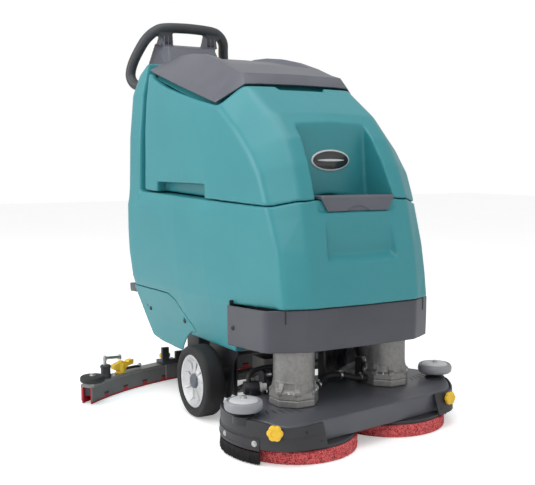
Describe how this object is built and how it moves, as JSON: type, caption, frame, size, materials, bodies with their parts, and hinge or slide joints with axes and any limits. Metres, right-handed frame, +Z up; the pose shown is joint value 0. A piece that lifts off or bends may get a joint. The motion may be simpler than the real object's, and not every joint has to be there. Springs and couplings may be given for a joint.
{
  "type": "walk-behind floor scrubber",
  "caption": "Walk-behind floor scrubber: twin-disc scrub deck, curved rear squeegee, moulded tanks that tip open, console with loop handle, drive wheels and casters.",
  "frame": {"origin": "on the floor, under the middle of the whole machine's length and width", "axes": "+Z up; the machine drives towards -Y, so +Y is its rear with the handle, +X is its left side"},
  "size_m": [0.995, 1.1696, 1.125],
  "materials": {
    "teal_plastic": "satin rotomoulded plastic",
    "grey_plastic": "fine-grained moulded plastic",
    "dark_plastic": "fine-grained moulded plastic",
    "yellow_plastic": "smooth moulded plastic",
    "red_plastic": "smooth moulded plastic",
    "red_pad": "open non-woven fibre",
    "red_rubber": "smooth sheet rubber",
    "black_paint": "satin black paint",
    "tyre_rubber": "worn solid rubber",
    "cast_aluminium": "as-cast, blasted",
    "steel": "zinc-plated steel",
    "roller_plastic": "smooth moulded plastic",
    "bristle": "bundled nylon bristle"
  },
  "bodies": {
    "machine": {"solution_tank": "teal_plastic", "right_side_panel": "teal_plastic", "left_side_panel": "teal_plastic", "front_skirt": "grey_plastic", "tank_hinge_pin": "steel", "console_housing": "grey_plastic", "control_panel": "dark_plastic", "handle_loop": "dark_plastic", "chassis_frame": "black_paint", "transaxle": "cast_aluminium", "battery_pack": "dark_plastic", "drain_hose": "dark_plastic", "vacuum_hose": "dark_plastic"},
    "recovery_tank": {"recovery_tank": "teal_plastic", "vacuum_motor": "dark_plastic"},
    "tank_lid": {"tank_lid": "grey_plastic"},
    "fill_cover": {"fill_cover": "grey_plastic"},
    "start_bail": {"start_bail": "yellow_plastic"},
    "key_switch": {"key_switch": "steel"},
    "speed_knob": {"speed_knob": "dark_plastic"},
    "emergency_stop": {"emergency_stop": "red_plastic"},
    "vacuum_button": {"vacuum_button": "grey_plastic"},
    "drive_wheel_right": {"drive_tyre_right": "tyre_rubber", "drive_hub_right": "cast_aluminium"},
    "drive_wheel_left": {"drive_tyre_left": "tyre_rubber", "drive_hub_left": "cast_aluminium"},
    "caster_fork_right": {"caster_fork_right": "steel"},
    "caster_fork_left": {"caster_fork_left": "steel"},
    "caster_wheel_right": {"caster_wheel_right": "dark_plastic"},
    "caster_wheel_left": {"caster_wheel_left": "dark_plastic"},
    "lift_arms": {"lift_arms": "steel"},
    "upper_link": {"upper_link": "steel"},
    "deck": {"deck_housing": "grey_plastic", "solution_valve": "black_paint", "brush_motor_right": "cast_aluminium", "brush_motor_left": "cast_aluminium", "skirt_right": "dark_plastic", "skirt_left": "dark_plastic", "splash_brush_right": "bristle", "splash_brush_left": "bristle"},
    "deck_roller_right": {"deck_roller_right": "roller_plastic"},
    "deck_roller_left": {"deck_roller_left": "roller_plastic"},
    "pad_right": {"pad_driver_right": "dark_plastic", "scrub_pad_right": "red_pad"},
    "pad_left": {"pad_driver_left": "dark_plastic", "scrub_pad_left": "red_pad"},
    "skirt_knob_right": {"skirt_knob_right": "yellow_plastic"},
    "skirt_knob_left": {"skirt_knob_left": "yellow_plastic"},
    "deck_pedal": {"deck_pedal": "grey_plastic"},
    "squeegee_arm": {"squeegee_arm": "black_paint"},
    "squeegee": {"squeegee_mount": "black_paint", "squeegee_channel": "grey_plastic", "front_blade": "red_rubber", "rear_blade": "red_rubber"},
    "squeegee_pedal": {"squeegee_pedal": "grey_plastic"},
    "mount_knob_right": {"mount_knob_right": "yellow_plastic"},
    "mount_knob_left": {"mount_knob_left": "yellow_plastic"},
    "blade_latch": {"blade_latch": "yellow_plastic"},
    "tip_roller_right": {"tip_roller_right": "tyre_rubber"},
    "tip_roller_left": {"tip_roller_left": "tyre_rubber"}
  },
  "joints": [
    {"name": "recovery_tank_tilt", "type": "hinge", "parent": "machine", "child": "recovery_tank", "pos_m": [0.2465, -0.04907, 0.586], "axis": [0, 1, 0], "range_deg": [0, 65]},
    {"name": "tank_lid_hinge", "type": "hinge", "parent": "recovery_tank", "child": "tank_lid", "pos_m": [0, 0.28893, 0.988], "axis": [-1, 0, 0], "range_deg": [0, 75]},
    {"name": "fill_cover_hinge", "type": "hinge", "parent": "machine", "child": "fill_cover", "pos_m": [0, -0.37907, 0.591], "axis": [-1, 0, 0], "range_deg": [0, 60]},
    {"name": "start_bail_hinge", "type": "hinge", "parent": "machine", "child": "start_bail", "pos_m": [0, 0.58043, 1], "axis": [1, 0, 0], "range_deg": [0, 2]},
    {"name": "key_switch_turn", "type": "hinge", "parent": "machine", "child": "key_switch", "pos_m": [0.074, 0.5369, 1.01321], "axis": [0, 0.8927, 0.4507], "range_deg": [0, 90]},
    {"name": "speed_knob_turn", "type": "hinge", "parent": "machine", "child": "speed_knob", "pos_m": [0, 0.53781, 1.01142], "axis": [0, 0.8927, 0.4507], "range_deg": [-135, 135]},
    {"name": "emergency_stop_push", "type": "slide", "parent": "machine", "child": "emergency_stop", "axis": [0, -0.8927, -0.4507], "range_m": [0, 0.004]},
    {"name": "vacuum_button_push", "type": "slide", "parent": "machine", "child": "vacuum_button", "axis": [0, -0.8927, -0.4507], "range_m": [0, 0.002]},
    {"name": "drive_wheel_right_roll", "type": "hinge", "parent": "machine", "child": "drive_wheel_right", "pos_m": [-0.245, -0.10507, 0.096], "axis": [1, 0, 0], "continuous": true},
    {"name": "caster_right_swivel", "type": "hinge", "parent": "machine", "child": "caster_fork_right", "pos_m": [-0.12, 0.12093, 0.1], "axis": [0, 0, 1], "continuous": true},
    {"name": "caster_right_roll", "type": "hinge", "parent": "caster_fork_right", "child": "caster_wheel_right", "pos_m": [-0.12, 0.14093, 0.0375], "axis": [1, 0, 0], "continuous": true},
    {"name": "drive_wheel_left_roll", "type": "hinge", "parent": "machine", "child": "drive_wheel_left", "pos_m": [0.245, -0.10507, 0.096], "axis": [1, 0, 0], "continuous": true},
    {"name": "caster_left_swivel", "type": "hinge", "parent": "machine", "child": "caster_fork_left", "pos_m": [0.12, 0.12093, 0.1], "axis": [0, 0, 1], "continuous": true},
    {"name": "caster_left_roll", "type": "hinge", "parent": "caster_fork_left", "child": "caster_wheel_left", "pos_m": [0.12, 0.14093, 0.0375], "axis": [1, 0, 0], "continuous": true},
    {"name": "deck_lift", "type": "hinge", "parent": "machine", "child": "lift_arms", "pos_m": [0, -0.13907, 0.065], "axis": [-1, 0, 0], "range_deg": [0, 10]},
    {"name": "upper_link_lift", "type": "hinge", "parent": "machine", "child": "upper_link", "pos_m": [0, -0.13907, 0.115], "axis": [-1, 0, 0], "range_deg": [0, 10]},
    {"name": "deck_level", "type": "hinge", "parent": "lift_arms", "child": "deck", "pos_m": [0, -0.29407, 0.14], "axis": [-1, 0, 0], "range_deg": [-10, 0]},
    {"name": "deck_pedal_press", "type": "hinge", "parent": "machine", "child": "deck_pedal", "pos_m": [-0.184, 0.31293, 0.172], "axis": [-1, 0, 0], "range_deg": [0, 10]},
    {"name": "pad_right_spin", "type": "hinge", "parent": "deck", "child": "pad_right", "pos_m": [-0.15523, -0.43227, 0.03], "axis": [0, 0, 1], "continuous": true},
    {"name": "deck_roller_right_spin", "type": "hinge", "parent": "deck", "child": "deck_roller_right", "pos_m": [-0.312, -0.46907, 0.12], "axis": [0, 0, 1], "continuous": true},
    {"name": "pad_left_spin", "type": "hinge", "parent": "deck", "child": "pad_left", "pos_m": [0.15523, -0.38587, 0.03], "axis": [0, 0, 1], "continuous": true},
    {"name": "deck_roller_left_spin", "type": "hinge", "parent": "deck", "child": "deck_roller_left", "pos_m": [0.303, -0.40907, 0.12], "axis": [0, 0, 1], "continuous": true},
    {"name": "skirt_knob_right_turn", "type": "hinge", "parent": "deck", "child": "skirt_knob_right", "pos_m": [-0.27915, -0.55837, 0.083], "axis": [-0.7009, -0.7133, 0], "continuous": true},
    {"name": "skirt_knob_left_turn", "type": "hinge", "parent": "deck", "child": "skirt_knob_left", "pos_m": [0.26194, -0.5042, 0.074], "axis": [0.1478, -0.989, 0], "continuous": true},
    {"name": "squeegee_lift", "type": "hinge", "parent": "machine", "child": "squeegee_arm", "pos_m": [0, 0.08093, 0.155], "axis": [1, 0, 0], "range_deg": [0, 10]},
    {"name": "squeegee_swing", "type": "hinge", "parent": "squeegee_arm", "child": "squeegee", "pos_m": [0, 0.21293, 0.09], "axis": [0, 0, 1], "range_deg": [-6, 6]},
    {"name": "squeegee_pedal_press", "type": "hinge", "parent": "machine", "child": "squeegee_pedal", "pos_m": [0.184, 0.31293, 0.172], "axis": [-1, 0, 0], "range_deg": [0, 16]},
    {"name": "mount_knob_right_turn", "type": "hinge", "parent": "squeegee", "child": "mount_knob_right", "pos_m": [-0.173, 0.30093, 0.0643], "axis": [0, 0, 1], "continuous": true},
    {"name": "tip_roller_right_spin", "type": "hinge", "parent": "squeegee", "child": "tip_roller_right", "pos_m": [-0.463, 0.13293, 0.0665], "axis": [0, 0, 1], "continuous": true},
    {"name": "mount_knob_left_turn", "type": "hinge", "parent": "squeegee", "child": "mount_knob_left", "pos_m": [0.173, 0.30093, 0.0643], "axis": [0, 0, 1], "continuous": true},
    {"name": "tip_roller_left_spin", "type": "hinge", "parent": "squeegee", "child": "tip_roller_left", "pos_m": [0.463, 0.13293, 0.0665], "axis": [0, 0, 1], "continuous": true},
    {"name": "blade_latch_swing", "type": "hinge", "parent": "squeegee", "child": "blade_latch", "pos_m": [-0.341, 0.24093, 0.0544], "axis": [0, 0, 1], "range_deg": [0, 60]}
  ],
  "couplings": [
    {"joint": "upper_link_lift", "follows": "deck_lift", "ratio": 1},
    {"joint": "deck_level", "follows": "deck_lift", "ratio": -1},
    {"joint": "deck_pedal_press", "follows": "deck_lift", "ratio": 1},
    {"joint": "squeegee_pedal_press", "follows": "squeegee_lift", "ratio": 1.6}
  ]
}
